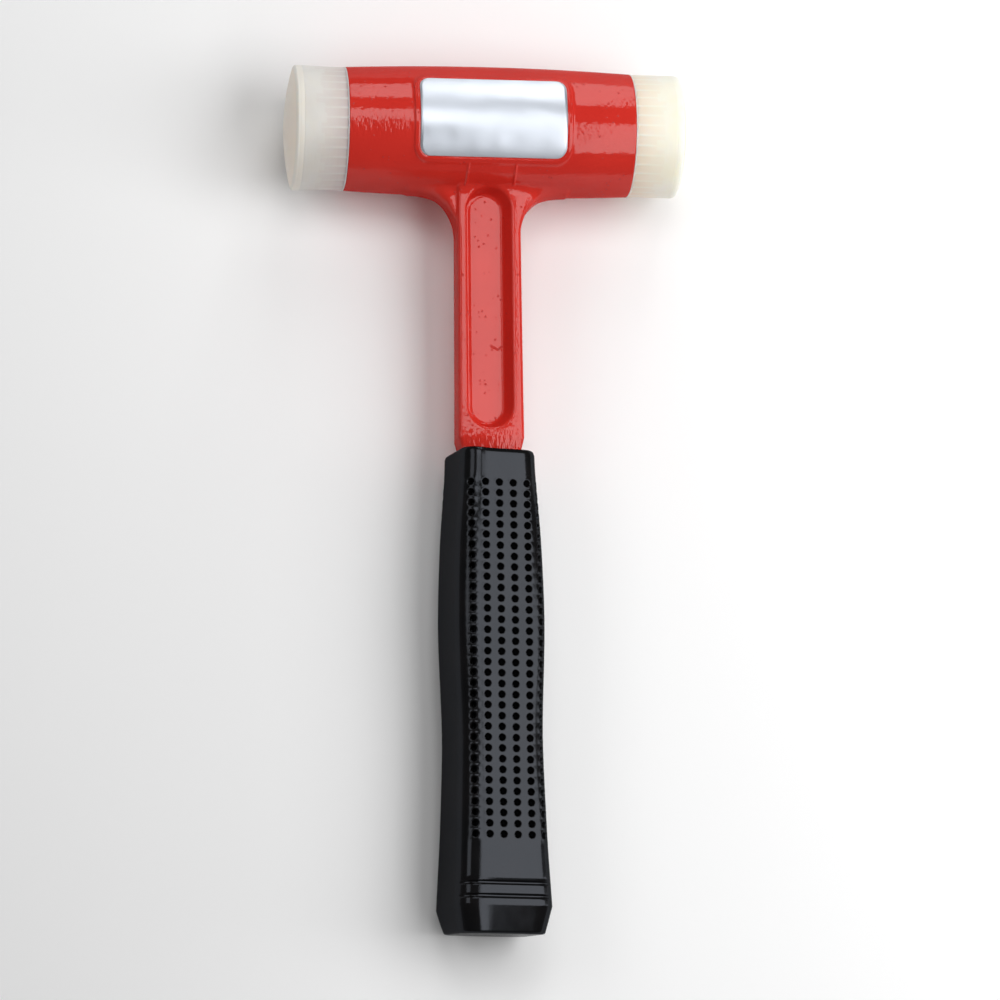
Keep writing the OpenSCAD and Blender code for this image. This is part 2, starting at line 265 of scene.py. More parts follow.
# %% Shaft with its recesses, and the tang
shaft_depth, web_depth, tang_depth = 8.25, 2.9, 7.25
shaft_y = (-273.0, -117.0, -113.0, -19.6)
shaft_half_w = (10.7, 10.7, 11.7, 11.2)
shaft_half_d = (tang_depth, tang_depth, shaft_depth, shaft_depth)
shaft_into, tang_end, tang_edge = 4.0, -271.5, 0.5
fillet_r, fillet_y = 17.0, -39.1
fillet_x = np.interp(fillet_y, shaft_y, shaft_half_w) + fillet_r
recess_r, recess_ends, recess_edge = 8.5, (-101.2, -30.1), 0.6
recess_draft, recess_lean, recess_floor_r = 0.38, 0.3, 0.8
flange_crown, flange_half, flange_reach, flange_edge = 1.0, 11.0, (11.5, 16.0), 1.2
crown_from, crown_run = -119.0, 4.0
gusset_run, gusset_step, gusset_edge, gusset_blend = 6.0, 1.1, 2.4, 5.0
step_in, step_w = 0.7, 1.5


def recess_plan(x, y):
    """Distance outside the recess's outline at the front: a slot with round ends."""
    return np.hypot(x, y - np.clip(y, *recess_ends)) - recess_r


def shaft_field(x, y, z):
    """I-section shaft with crowned flanges and gussets, and a leaning recess in its front and its back.
    The left gusset lies a step lower than the flange beside it."""
    wide, deep = np.abs(x), np.abs(z)
    side = wide - np.interp(y, shaft_y, shaft_half_w)
    scoop = np.hypot(np.maximum(fillet_x - wide, 0), y - fillet_y)
    scoop = fillet_r - scoop + np.maximum(wide - fillet_x, 0)
    outline = np.where(y > fillet_y, np.minimum(side, scoop), side)
    beside = ease((y - fillet_y) / gusset_run)
    depth = np.interp(y, shaft_y, shaft_half_d)
    depth = depth - gusset_step * ease((side + step_in) / step_w) * beside * (x < 0)
    crown = flange_crown * (np.minimum(wide, np.where(x < 0, *flange_reach)) / flange_half) ** 2
    front = deep - depth + crown * ease((y - crown_from) / crown_run)
    edge = flange_edge + gusset_edge * ease(side / gusset_blend) * beside
    shaft = round_both(round_both(outline, front, edge), tang_end - y, tang_edge)
    shaft = np.maximum(shaft, y - shaft_y[-1] - shaft_into)
    down = np.clip(shaft_depth - deep, 0, shaft_depth - web_depth)
    walls = recess_plan(x + recess_lean * down, y) + recess_draft * down
    recess = round_both(walls, web_depth - deep, recess_floor_r)
    return round_both(shaft, -recess, recess_edge)


print(f"web {2 * web_depth:.1f} mm thick, flanges {2 * shaft_depth:.1f} mm deep, "
      f"recess {recess_ends[1] - recess_ends[0] + 2 * recess_r:.1f} mm long")

# %% The whole casting
bore_r, thread_bore_r, mouth_r, bore_edge = 16.5, 17.1, 19.0, 0.12
thread_bore_l, mouth_l = 19.25, 4.0
foot_r, foot_more, foot_over = 1.2, 1.6, 8.5


def casting_field(points):
    """Barrel and shaft joined by a fillet, less the bore, the two threaded lengths and the two mouths."""
    x, y, z = np.moveaxis(points, -1, 0)
    rho, wide = np.hypot(y, z), np.abs(x)
    foot = foot_r + foot_more * np.clip(wide / foot_over, 0, 1)
    metal = round_union(barrel_field(x, y, z, rho), shaft_field(x, y, z), foot)
    bore = np.minimum(rho - bore_r, np.maximum(rho - thread_bore_r, seam_x - thread_bore_l - wide))
    bore = np.minimum(bore, np.maximum(rho - mouth_r, seam_x - mouth_l - wide))
    return round_both(metal, -bore, bore_edge)


web_middle = np.array((0.0, np.mean(recess_ends), 0.0))
print(f"field in the middle of the web: {casting_field(web_middle):.1f} mm")

# %% [markdown]
# ## A skin over the field
# A grid that bends with the object puts the small cells where the detail is: rings round the barrel, and a
# straight bundle down the shaft. Every cell that the surface passes through gets one point, and every grid
# edge that crosses the surface gets one quad between the four cells round it. A few steps down the slope of
# the field then put each point exactly on the surface.

# %% Dual skin of a field


def steps(*runs):
    """Grid lines: runs of (end, spacing) one after the other from the first value, evenly fitted."""
    lines = [np.array([runs[0]], float)]
    for end, spacing in runs[1:]:
        start = lines[-1][-1]
        lines.append(np.linspace(start, end, max(1, round(abs(end - start) / spacing)) + 1)[1:])
    return np.concatenate(lines)


def dual_skin(sign_field, lines, place):
    """Points and quads where a field on a grid changes sign; the second axis closes on itself.
    A point is the mean of the crossings on its cell's edges, and a quad joins the cells round a crossing."""
    cells = np.array([len(lines[0]) - 1, len(lines[1]), len(lines[2]) - 1])
    total, count = np.zeros((cells.prod(), 3)), np.zeros(cells.prod())
    quads = []
    for axis in range(3):
        ahead = np.roll(sign_field, -1, axis)
        crossed = (sign_field < 0) != (ahead < 0)
        for k in (0, 2):
            keep = np.arange(crossed.shape[k])
            keep = keep < cells[k] if k == axis else (keep > 0) & (keep < cells[k])
            crossed &= keep.reshape([-1 if n == k else 1 for n in range(3)])
        near = np.stack(np.nonzero(crossed))
        far = near.copy()
        far[axis] += 1
        far[1] %= cells[1]
        f0, f1 = sign_field[tuple(near)], sign_field[tuple(far)]
        ends = [place(*(lines[k][n[k]] for k in range(3))) for n in (near, far)]
        share = (f0 / (f0 - f1))[:, None]
        crossing = ends[0] + share * (ends[1] - ends[0])
        side_a, side_b = (axis + 1) % 3, (axis + 2) % 3
        ring = []
        for shift_a, shift_b in ((-1, -1), (0, -1), (0, 0), (-1, 0)):
            cell = near.copy()
            cell[side_a] += shift_a
            cell[side_b] += shift_b
            cell[1] %= cells[1]
            index = np.ravel_multi_index(cell, cells)
            for k in range(3):
                total[:, k] += np.bincount(index, crossing[:, k], len(total))
            count += np.bincount(index, minlength=len(count))
            ring.append(index)
        ring = np.stack(ring, -1)
        quads.append(np.where((f0 < 0)[:, None], ring, ring[:, ::-1]))
    used, quads = np.unique(np.concatenate(quads), return_inverse=True)
    return total[used] / count[used, None], quads.reshape(-1, 4)


def settle(points, field, rounds=5, reach=0.02, longest=0.35, least=0.1):
    """Moves points to the field's zero: each step is the value over the slope, along the slope."""
    for _ in range(rounds):
        rise = [field(points + reach * axis) - field(points - reach * axis) for axis in np.eye(3)]
        slope = np.stack(rise, -1) / (2 * reach)
        move = slope * (field(points) / np.maximum((slope ** 2).sum(-1), least))[:, None]
        length = np.linalg.norm(move, axis=-1, keepdims=True)
        points = points - move * np.minimum(1, longest / np.maximum(length, 1e-9))
    return points


print("grid lines to 1 by halves, then to 2 by quarters:", steps(0, (1, 0.5), (2, 0.25)))

# %% Casting
bend_r, beam, outside = 24.9, np.radians(30), 1.0
half_x = steps(0, (7.4, 0.93), (9.2, 0.3), (12.6, 0.5), (25.6, 1.0), (26.5, 0.45), (28.8, 0.27), (29.4, 0.6),
               (46.9, 0.8), (51.8, 0.35))
lines_x = np.concatenate([-half_x[:0:-1], half_x])
lines_a = np.radians(steps(-180, (-112.5, 2.2), (-106, 1.1), (-74, 1.8), (-67.5, 1.1), (-46, 1.8), (-35, 0.9),
                           (35, 1.8), (46, 0.9), (180, 2.2))[:-1])
lines_r = steps(15.3, (17.4, 0.3), (18.7, 0.45), (19.4, 0.25), (21.6, 0.6), (bend_r, 0.25), (42, 0.6),
                (100, 0.95), (119, 0.6), (268, 5), (273, 0.6))


def casting_place(x, a, r):
    """Round the head's axis up to bend_r, then straight down along the shaft."""
    inner = np.minimum(r, bend_r)
    return np.stack([x, inner * np.sin(a) - np.maximum(r - bend_r, 0), inner * np.cos(a)], -1)


grid = np.meshgrid(lines_x, lines_a, lines_r, indexing="ij")
samples = casting_field(casting_place(*grid))
samples[(np.abs(grid[1] + np.pi / 2) > beam) & (grid[2] > bend_r + 1e-6)] = outside
cast_points, cast_quads = dual_skin(samples, (lines_x, lines_a, lines_r), casting_place)
cast_points = settle(cast_points, casting_field)
casting = new_piece("cast_body", cast_points, cast_quads, NO_TRIS, "hammer_body", "head_casting", "red_paint")
print(f"farthest point from the surface: {np.abs(casting_field(cast_points)).max():.4f} mm")

# %% [markdown]
# ## How the paint lies
# Paint that is dipped or sprayed thick lies level in the recess, where it pools, and leaves short runs near
# the seam of the left face and above the grip. Two numbers for each vertex say where, for the paint to read.

# %% Where the paint lies level and where it ran
level_edge, level_over = 0.6, 1.0
run_angle, run_spread, run_x, run_fade, outer_r = -9, 8, 27, 3, 21
low_run, low_run_y, flange_over = 0.7, -109, 3
x, y, z = cast_points.T
angle = np.degrees(np.arctan2(y, z))
floor_down = shaft_depth - web_depth
floor_in = -recess_plan(x + recess_lean * floor_down, y) - recess_draft * floor_down
pooled = ease(floor_in / level_edge) * (np.abs(z) < web_depth + level_over)
runs = np.exp(-((angle - run_angle) / run_spread) ** 2) * ease((-x - run_x) / run_fade)
runs = runs * (np.hypot(y, z) > outer_r)
runs = np.maximum(runs, low_run * ease((low_run_y - y) / run_fade) * (z > web_depth + flange_over))
point_values(casting, "pooled", pooled)
point_values(casting, "runs", runs)
print(f"level paint on {pooled.mean():.1%} of the points, runs on {(runs > 0.1).mean():.1%}")

# %% [markdown]
# ## The nylon faces
# Each face is a turned piece: a slightly domed disc, a neck for the rubber ring and a screw thread. Fine
# ribs at the seam give the fingers a hold. A turned piece is a profile carried round an axis, so its radius
# is a function of the distance along the axis and of the angle; the ribs and the thread are terms of it.

# %% Turned profile
disc_r, dome_h, rim_zone, splay_from = 22.0, 3.0, 3.2, 4
neck_r, neck_l, root_gap = 15.6, 4.0, 0.02
thread_pitch, thread_turns, thread_stations = 3.5, 4, 56
thread_end = neck_l + thread_pitch * thread_turns
turned_lines, turned_h, turned_w = (0.9, 2.5), 0.07, 0.2
lip_top = 0.45
lip_stations = (0.42, 0.36, 0.28, 0.17, 0.07, 0.02, 0, 0, 0, 0)
lip_radii = (22.04, 22.11, 22.15, 22.15, 22.1, 22.0, 21.85, 20.5, 19, 17)


def face_profile(disc_l, rim_r, splay):
    """Stations (distance out from the seam, radius) from the dome over the rim, the side and the lip at the
    seam to the end of the thread. The dome and the rim are arcs that touch."""
    dome_r = (disc_r ** 2 + dome_h ** 2) / (2 * dome_h)
    dome_c = disc_l + dome_h - dome_r
    rim_c = dome_c + np.sqrt((dome_r - rim_r) ** 2 - (disc_r - rim_r) ** 2)
    tilt = np.arcsin((disc_r - rim_r) / (dome_r - rim_r))
    dome = np.linspace(0, tilt, 15)[1:]
    rim = np.linspace(tilt, np.pi / 2, 9)[1:]
    side = steps(rim_c, (disc_l - rim_zone, 0.17), (0.5, 0.6))[1:]
    neck = np.linspace(0.8, neck_l, 6)
    thread = np.linspace(neck_l, thread_end, thread_stations + 1)[1:]
    root = -thread_end - root_gap
    runs = [
        (dome_c + dome_r * np.cos(dome), dome_r * np.sin(dome)),
        (rim_c + rim_r * np.cos(rim), disc_r - rim_r + rim_r * np.sin(rim)),
        (side, np.full(len(side), disc_r)),
        (lip_stations, lip_radii),
        ((0, -0.1, -0.4), (16.1, 15.75, neck_r)),
        (-neck, np.full(len(neck), neck_r)),
        (-thread, np.full(len(thread), neck_r)),
        ((root, root), (neck_r - 0.4, neck_r * 0.6)),
    ]
    out, radius = (np.concatenate([np.asarray(run[k], float) for run in runs]) for k in range(2))
    radius = radius + splay * ease((out - splay_from) / (disc_l - splay_from)) * radius / disc_r
    for line in turned_lines:
        mark = turned_h * np.exp(-((disc_l - out - line) / turned_w) ** 2)
        radius = radius - mark * (radius > disc_r - 0.5)
    return out, radius, dome_c + dome_r


print(f"face {2 * disc_r:.0f} mm across, its thread ends {thread_end:.0f} mm inside the seam")

# %% Ribs, thread and the two faces
rib_count, rib_depth, rib_half = 38, 0.2, 0.1
rib_lines = np.array((-0.5, -0.36, -0.24, -0.15, -0.075, 0, 0.075, 0.15, 0.24, 0.36))
rib_l, rib_slow, rib_fast, rib_fade = 9.6, 1.3, 0.9, 1.5
thread_h, thread_flat, thread_fade = 1.4, 0.35, 0.9
red_light_l, red_light_least = 6.0, 0.3
struck_over, struck_run, struck_in, struck_soft = 0.2, 0.5, 0.6, 1.2
band_over, band_run = 0.2, 0.4


def nylon_face(name, side, body, node, slot, disc_l, rim_r, splay):
    """The profile carried round the head's axis. Between the ribs the side lies lower, by an amount that
    fades out along the disc, sooner on some ribs than on others; the thread stands up where the distance
    along the axis, less the lead, is near a crest."""
    out, radius, apex = face_profile(disc_l, rim_r, splay)
    rib = np.arange(rib_count)
    angle = ((rib[:, None] + rib_lines) * 2 * np.pi / rib_count).ravel()
    off_rib = np.tile(np.abs(rib_lines), rib_count)
    reach = rib_l + rib_slow * np.sin(rib * 2.4 + side) + rib_fast * np.sin(rib * 5.1)
    reach = np.repeat(reach, len(rib_lines))
    out_grid, angle_grid = np.meshgrid(out, angle, indexing="ij")
    fade = np.clip(1 - out_grid / reach, 0, 1) ** rib_fade * (out_grid > lip_top)
    low = fade * (1 - np.exp(-(off_rib / rib_half) ** 2))
    lead = (out_grid + neck_l - thread_pitch * angle_grid / (2 * np.pi)) / thread_pitch
    off_crest = np.abs(lead - np.floor(lead) - 0.5) * thread_pitch
    ends = np.clip(np.minimum(-out_grid - neck_l, thread_end + out_grid) / thread_fade, 0, 1)
    crest = np.clip(thread_h + thread_flat / 2 - off_crest, 0, thread_h) * ends
    r = radius[:, None] - rib_depth * low + crest
    rings = np.stack([side * (seam_x + out_grid), r * np.cos(angle_grid), side * r * np.sin(angle_grid)], -1)
    tip, root = (side * (seam_x + apex), 0, 0), (-side * (thread_end + root_gap) + side * seam_x, 0, 0)
    piece = new_piece(name, *closed_grid(rings, tip, root), body, node, slot)
    # Painted light stored on the vertices: red light from the barrel, shining through the nylon near the seam
    # and stronger between the ribs.
    near = np.exp(-np.maximum(out_grid, 0) / red_light_l) * (out_grid > lip_top)
    between = low / np.maximum(fade, 1e-6)
    struck = ease((out_grid - disc_l + struck_over) / struck_run)
    struck = struck * ease((disc_r - struck_in - radius[:, None]) / struck_soft)
    # Painted highlight on the rim round the disc, outside the struck disc.
    band = ease((out_grid - disc_l + turned_lines[1] + band_over) / band_run) * (1 - struck)
    red_light = near * (red_light_least + (1 - red_light_least) * between)
    for what, values, at_tip in (("seam_red_light", red_light, 0), ("struck", struck, 1), ("rim_highlight", band, 0)):
        point_values(piece, what, np.append(values.ravel(), (at_tip, 0)))
    return piece


left_face = nylon_face("nylon_face_left", -1, "left_face_body", "left_face", "white_nylon",
                       disc_l=18.4, rim_r=0.9, splay=0.35)
right_face = nylon_face("nylon_face_right", 1, "right_face_body", "right_face", "cream_nylon",
                        disc_l=17.4, rim_r=1.7, splay=0.0)

# %% [markdown]
# ## The vinyl grip
# The grip is a moulded sleeve with rounded corners, a lip round the shaft, a swell for the palm, a flare and
# a bevelled butt. Rows of blind holes run down its front and its back. Its surface is a function of the
# distance along the handle and of the way round the section. Each hole takes the place of a three by three
# block of the grid, so the edge of every hole is real and the sleeve stays one closed skin.

# %% Sections of the grip
grip_turn, grip_corner = np.radians(12), 5.6
fall_from, fall_depth = 6.4, 1.7


def rounded_section(s, w, t, r):
    """Point and outward direction at a way s round a rounded rectangle, from the middle of its front."""
    flat_w, arc, flat_t = w / 2 - r, np.pi * r / 2, t - 2 * r
    around = 2 * (2 * flat_w + flat_t + 2 * arc)
    s = (s + around / 2) % around - around / 2
    way, hand = np.abs(s), np.sign(s)
    low = way > flat_w + arc + flat_t / 2
    way = np.where(low, around / 2 - way, way)
    bend = np.clip((way - flat_w) / r, 0, np.pi / 2)
    x = np.minimum(way, flat_w) + r * np.sin(bend)
    z = t / 2 - r + r * np.cos(bend) - np.maximum(way - flat_w - arc, 0)
    flip = np.where(low, -1, 1)
    return np.stack([hand * x, flip * z], -1), np.stack([hand * np.sin(bend), flip * np.cos(bend)], -1)


def girth(w, t, r):
    """Way round a rounded rectangle: its straight sides and four quarter circles."""
    return 2 * (w + t) - 8 * r + 2 * np.pi * r


def left_fall(x, z, w, t, depth):
    """Depth z of a section whose front falls away on its left by a parabola, and its back on its right."""
    into = np.maximum(-x * np.sign(z) - fall_from, 0) / (w / 2 - fall_from)
    return z * (1 - 2 * depth / t * into ** 2)


def round_handle(x, along, z, turn):
    """Points of a section that is turned about the handle."""
    return np.stack([x * np.cos(turn) + z * np.sin(turn), along, z * np.cos(turn) - x * np.sin(turn)], -1)


print(f"way round a 30 by 28 mm section: {girth(30, 28, grip_corner):.1f} mm")

# %% Swell and flare of the grip
grip_at = np.array((119.5, 122.7, 149.1, 175.5, 221.5, 250.25, 279.0))
grip_w = np.array((27.0, 27.2, 30.87, 32.6, 30.6, 32.2, 34.8))
grip_t = np.array((28.2, 28.3, 28.9, 29.8, 28.9, 30.2, 32.2))


def smooth_curve(at, stations, values):
    """Cubic through the stations, whose slope at each is the mean slope of its neighbours."""
    slopes = np.gradient(values, stations)
    k = np.clip(np.searchsorted(stations, at) - 1, 0, len(stations) - 2)
    run = stations[k + 1] - stations[k]
    t = (at - stations[k]) / run
    rise = values[k + 1] - values[k]
    return (values[k] + t * t * (3 - 2 * t) * rise
            + run * (t * (1 - t) ** 2 * slopes[k] - t * t * (1 - t) * slopes[k + 1]))


def grip_size(at):
    """Width and depth of the grip at a distance from the head's axis."""
    return smooth_curve(at, grip_at, grip_w), smooth_curve(at, grip_at, grip_t)


print("width and depth in the palm, mm:", [round(float(size), 1) for size in grip_size(np.array(190.0))])

# %% Rows along the grip
grip_top, lip_l, lip_r = 118.1, 1.9, 1.0
hole_pitch_s, hole_pitch_l, hole_columns, hole_rows = 5.15, 3.758, 6, 34
hole_first, hole_middle_s, hole_cells = 130.43, 1.15, 3
hole_zone = (hole_first - hole_pitch_l / 2, hole_first + (hole_rows - 0.5) * hole_pitch_l)
lip = np.linspace(0, 1, 8)
plain_rows = steps(grip_top + lip_l, (hole_zone[0], 1.2))[1:]
grip_rows = np.concatenate([
    grip_top + lip_l * (1 - np.cos(lip * np.pi / 2)),
    plain_rows,
    np.linspace(*hole_zone, hole_rows * hole_cells + 1)[1:],
    steps(hole_zone[1], (270.4, 1.6), (276.6, 0.15), (277.8, 0.4), (278.4, 0.2))[1:],
])
first_hole_row = len(lip) + len(plain_rows) - 1
inset = np.zeros(len(grip_rows))
inset[:len(lip)] = lip_r * (1 - np.sin(lip * np.pi / 2))
print(f"{len(grip_rows)} rows on the grip, holes from row {first_hole_row}")

# %% Skin of the grip
groove_at, groove_half, groove_h = np.array((271.2, 275.8)), 0.6, 0.75
groove_from, groove_run = 0.45, 0.35
lip_rise, rise_from, rise_over = 0.7, 5, 9


def grip_point(s, at, drop=0.0, trim=0.0):
    """Point of the grip's skin at a way s round it, moved inwards by drop, and by trim as a smaller section.
    The grooves are cut into the front and the back, and the lip rises on the left."""
    w, t = grip_size(at)
    flat, out = rounded_section(s, w - 2 * trim, t - 2 * trim, grip_corner - trim)
    groove = (groove_h * np.exp(-((at[..., None] - groove_at) / groove_half) ** 4)).sum(-1)
    groove = groove * ease((np.abs(out[..., 1]) - groove_from) / groove_run)
    flat = flat - out * (drop + groove)[..., None]
    x, z = flat[..., 0], flat[..., 1]
    z = left_fall(x, z, w, t, fall_depth)
    rise = lip_rise * np.clip((-x - rise_from) / rise_over, 0, 1)
    rise = rise * ease((grip_top + rise_over - at) / rise_over)
    return round_handle(x, rise - at, z, grip_turn)


zone = hole_columns * hole_pitch_s / 2
zone_start, zone_end = hole_middle_s - zone, hole_middle_s + zone
side_columns = 14
hole_lines = np.linspace(zone_start, zone_end, hole_columns * hole_cells + 1)


def ways_round(around):
    """Way s of every column round a section of a given girth: holes, a side, holes behind, a side."""
    around = np.asarray(around)[..., None]
    t = np.linspace(0, 1, side_columns + 1)[1:-1]
    side = zone_end + (around / 2 + zone_start - zone_end) * t
    front = np.broadcast_to(hole_lines, (*side.shape[:-1], len(hole_lines)))
    half = np.concatenate([front, side], -1)
    return np.concatenate([half, half + around / 2], -1)


w, t = grip_size(grip_rows)
around = girth(w - 2 * inset, t - 2 * inset, grip_corner - inset)
ways = ways_round(around)
columns = ways.shape[1]
skin_rings = grip_point(ways, np.broadcast_to(grip_rows[:, None], ways.shape), trim=inset[:, None])
print(f"{columns} columns round the grip, {around.min():.0f} to {around.max():.0f} mm round")

# %% Butt, lip and pocket
butt_w, butt_t, butt_tilt = 30.6, 27.0, np.tan(np.radians(3))
butt_shares = (0.8, 0.55, 0.28)
bevel = np.array((0, 0.06, 0.14, 0.3, 0.5, 0.7, 0.88, 0.96, 1.0))
bevel_span, bevel_edge = (278.75, 287.85), 0.6
edge_in, edge_at = np.array((0.25, 0.75, 1.5)), np.array((288.2, 288.43, 288.5))
pocket = np.array((21.5, 14.6))
pocket_corner, pocket_end, pocket_rows, pocket_shares = 0.8, 271.6, 12, (0.7, 0.35)
mouth_grow = ((1.2, grip_turn * 0.4), (0.5, 0))


def ring_at(way, at, w, t, r, turn, tilt=0.0, depth=0.0):
    """One ring of a rounded rectangle, turned about the handle, its back tilted up towards the head."""
    x, z = rounded_section(way * girth(w, t, r), w, t, r)[0].T
    z = left_fall(x, z, w, t, depth)
    return round_handle(x, tilt * (t / 2 - z) - at, z, turn)


share = ways[-1] / around[-1]
bevel_end = np.append(np.interp(bevel, (0, 1), bevel_span), edge_at)
bevel_w, bevel_t = (np.append(flare + (butt + bevel_edge - flare) * bevel, butt + bevel_edge - 2 * edge_in)
                    for flare, butt in ((grip_w[-1], butt_w), (grip_t[-1], butt_t)))
bevel_r = np.append(np.full(len(bevel), grip_corner), grip_corner - edge_in)
bevel_tilt = np.append(bevel ** 2, np.ones(len(edge_at))) * butt_tilt
bevel_rings = [ring_at(share, at, w, t, r, grip_turn, tilt, fall_depth)
               for at, w, t, r, tilt in zip(bevel_end, bevel_w, bevel_t, bevel_r, bevel_tilt)]
butt_middle = bevel_rings[-1].mean(0)
bevel_rings += [butt_middle + (bevel_rings[-1] - butt_middle) * k for k in butt_shares]
lip_share = ways[0] / around[0]
mouth_rings = [ring_at(lip_share, grip_top, *(pocket + grow), pocket_corner + grow / 2, turn)
               for grow, turn in mouth_grow]
pocket_rings = [ring_at(lip_share, at, *pocket, pocket_corner, 0)
                for at in np.linspace(grip_top + 0.3, pocket_end, pocket_rows)]
floor_rings = [pocket_rings[-1] * (k, 1, k) for k in pocket_shares]
inner_rings = np.stack(floor_rings[::-1] + pocket_rings[::-1] + mouth_rings[::-1])
grip_rings = np.concatenate([inner_rings, skin_rings, np.stack(bevel_rings)])
print(f"{len(grip_rings)} rings of {columns} points")

# %% [markdown]
# ## Blind holes
# The mould has a pin for every hole. Here each block of nine quads comes out of the skin, and rings of points
# go in: a low raised rim, a rounded edge, a wall that narrows, and a flat floor. All holes are made at once,
# as arrays with one row for each hole. The back has the front's holes, turned half round the handle.

# %% Holes
hole_sides = 4 * hole_cells
hole_row, hole_col, hole_side = (g.ravel() for g in np.meshgrid(
    np.arange(hole_rows), np.arange(hole_columns), np.arange(2), indexing="ij"))
hole_s = hole_middle_s + (hole_col - (hole_columns - 1) / 2) * hole_pitch_s
hole_at = hole_first + hole_row * hole_pitch_l
hole_turn = np.radians(225) + 2 * np.pi * np.arange(hole_sides) / hole_sides
hole_rings = ((1.8, 0.0), (1.5, -0.05), (1.28, 0.06), (1.15, 0.4), (1.0, 3.5))
floor_dip = 0.1


def hole_points(radius, drop):
    """Ring of each hole on the skin, a radius round its middle and a drop below the surface."""
    s = hole_s[:, None] + radius * np.cos(hole_turn)
    at = hole_at[:, None] + radius * np.sin(hole_turn)
    points = grip_point(s, at, drop)
    return np.where(hole_side[:, None, None] == 1, points * (-1, 1, -1), points)


points, quads, tris = closed_grid(grip_rings, grip_rings[0].mean(0), grip_rings[-1].mean(0))
start_row = len(inner_rings) + first_hole_row + hole_row * hole_cells
start_col = hole_side * (columns // 2) + hole_col * hole_cells
inner_r, inner_c = np.meshgrid(np.arange(hole_cells), np.arange(hole_cells), indexing="ij")
taken = ((start_row[:, None, None] + inner_r) * columns + start_col[:, None, None] + inner_c).ravel()
keep = np.ones(len(quads), bool)
keep[taken] = False
edge_r = np.array((0, 0, 0, 0, 1, 2, 3, 3, 3, 3, 2, 1))
edge_c = np.array((0, 1, 2, 3, 3, 3, 3, 2, 1, 0, 0, 0))
loops = [(start_row[:, None] + edge_r) * columns + start_col[:, None] + edge_c]
pole = len(points)
new_points = [points]
for radius, drop in hole_rings:
    loops.append(pole + np.arange(len(hole_s) * hole_sides).reshape(-1, hole_sides))
    new_points.append(hole_points(radius, drop).reshape(-1, 3))
    pole += len(hole_s) * hole_sides
hole_pole = np.broadcast_to(pole + np.arange(len(hole_s))[:, None], loops[-1].shape)
new_points.append(hole_points(0.0, hole_rings[-1][1] + floor_dip)[:, 0])
hole_quads = [np.stack([a, np.roll(a, -1, 1), np.roll(b, -1, 1), b], -1).reshape(-1, 4)
              for a, b in zip(loops, loops[1:])]
hole_tris = np.stack([loops[-1], np.roll(loops[-1], -1, 1), hole_pole], -1).reshape(-1, 3)
grip = new_piece("vinyl_grip", np.concatenate(new_points), np.concatenate([quads[keep], *hole_quads]),
                 np.concatenate([tris, hole_tris]), "hammer_body", "grip_sleeve", "black_vinyl")
print(len(hole_s), "holes")

# %% [markdown]
# ## The foil label
# The label is a thin sheet of foil with round corners, glued round the seat inside the cast border. Its two
# sides are the same function at two radii: across the sheet the rows shorten near the corners, and the depth
# follows the cylinder. A row of quads round the edge closes it. It is left bare.

# %% Label
label_half = np.array((26.2, 14.2))
label_corner, label_r, label_t = 3.6, seat_r + 0.05, 0.2
label_flat, flat_rows, corner_rows, label_columns = 10.4, 27, 9, 53


def label_sheet(r):
    """Rows up the label: the half width shrinks by a quarter circle in the corners, and the depth is that of
    a cylinder."""
    edge = label_corner * (1 - np.cos(np.linspace(0, np.pi / 2, corner_rows)))
    flat = np.linspace(-label_flat, label_flat, flat_rows)
    y = np.concatenate([-label_half[1] + edge, flat, label_half[1] - edge[::-1]])
    into = np.maximum(np.abs(y) - label_half[1] + label_corner, 0)
    half = label_half[0] - label_corner + np.sqrt(np.maximum(label_corner ** 2 - into ** 2, 0))
    x = np.linspace(-1, 1, label_columns) * half[:, None]
    y = np.broadcast_to(y[:, None], x.shape)
    return np.stack([x, y, np.sqrt(r ** 2 - y ** 2)], -1)


sheets = [label_sheet(label_r), label_sheet(label_r + label_t)]
rows, wide = sheets[0].shape[:2]
index = np.arange(rows * wide).reshape(rows, wide)
sheet = np.stack([index[:-1, :-1], index[:-1, 1:], index[1:, 1:], index[1:, :-1]], -1).reshape(-1, 4)
rim = np.concatenate([index[0, :-1], index[:-1, -1], index[-1, :0:-1], index[:0:-1, 0]])
band = np.stack([rim, np.roll(rim, -1), np.roll(rim, -1) + rows * wide, rim + rows * wide], -1)
label = new_piece("foil_label", np.concatenate([s.reshape(-1, 3) for s in sheets]),
                  np.concatenate([sheet[:, ::-1], sheet + rows * wide, band]), NO_TRIS,
                  "hammer_body", "front_label", "foil")

# %% [markdown]
# ## The steel shot
# A closed canister inside the head holds loose steel balls, which fly on at the blow and stop the rebound.
# They lie in rows, each row in the hollows of the one below. One coarse ball is a few rings between two
# poles, and adding its points to every centre at once gives the whole bed. The balls are shut in the
# canister, so a few dozen faces for each are plenty.

# %% Shot
ball_r, ball_pitch, ball_reach = 3.0, 6.2, 11.75
ball_layers, ball_rows, ball_columns = 8, 4, 5
ball_rings, ball_sides = 6, 12
layer, row, column = np.meshgrid(np.arange(ball_layers), np.arange(ball_rows),
                                 np.arange(-ball_columns, ball_columns + 1), indexing="ij")
centres = np.stack([(layer - (ball_layers - 1) / 2) * ball_pitch, (column + row % 2 / 2) * ball_pitch,
                    row * ball_pitch * np.sqrt(3) / 2 - ball_reach], -1).reshape(-1, 3)
centres = centres[np.hypot(centres[:, 1], centres[:, 2]) <= ball_reach + 0.01]
down, turn = np.meshgrid(np.linspace(0, np.pi, ball_rings + 2)[1:-1],
                         np.arange(ball_sides) * 2 * np.pi / ball_sides, indexing="ij")
ball = np.stack([np.sin(down) * np.cos(turn), np.sin(down) * np.sin(turn), np.cos(down)], -1)
ball_points, ball_quads, ball_tris = closed_grid(ball_r * ball, (0, 0, ball_r), (0, 0, -ball_r))
offset = np.arange(len(centres))[:, None, None] * len(ball_points)
